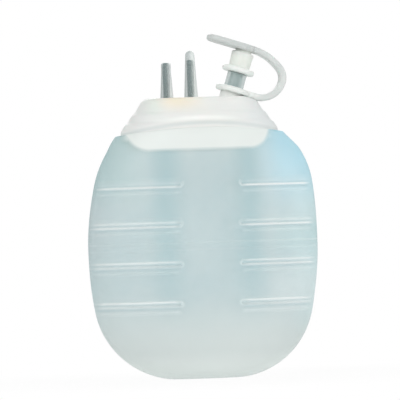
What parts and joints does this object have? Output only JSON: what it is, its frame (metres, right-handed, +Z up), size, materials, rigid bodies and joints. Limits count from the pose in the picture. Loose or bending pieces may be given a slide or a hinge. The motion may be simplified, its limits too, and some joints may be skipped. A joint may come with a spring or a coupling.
{
  "type": "drain bulb reservoir",
  "caption": "Squeezable flattened-oval wound drain bulb with ribbed faces, a stepped port cap with valved inlets, and a tilted emptying spout closed by a tethered stopper.",
  "frame": {"origin": "middle of the flat that the bulb stands on", "axes": "+Z up through the cap, +Y from the front face to the back, +X from the inlets towards the spout"},
  "size_m": [0.076, 0.0342, 0.1128],
  "materials": {
    "bulb_silicone": "soft translucent silicone, satin",
    "cap_silicone": "milky white silicone, satin",
    "inlet_clear": "clear moulded plastic, gloss",
    "valve_amber": "amber elastomer, satin",
    "spout_clear": "clear flexible tube, gloss",
    "closure_white": "milky white soft moulding, satin"
  },
  "bodies": {
    "reservoir": {"bulb": "bulb_silicone", "port_cap": "cap_silicone", "inlet_port_open": "inlet_clear", "inlet_port_sealed": "inlet_clear", "inlet_valve_open_side": "valve_amber", "inlet_valve_sealed_side": "valve_amber", "spout_tube": "spout_clear", "tether_collar": "closure_white", "tether_strap": "closure_white"},
    "stopper": {"stopper": "closure_white"}
  },
  "joints": [
    {"name": "stopper_swing", "type": "hinge", "parent": "reservoir", "child": "stopper", "pos_m": [0.02654, 0, 0.09333], "axis": [0, 1, 0], "range_deg": [0, 150], "deforming": ["tether_strap"]}
  ]
}
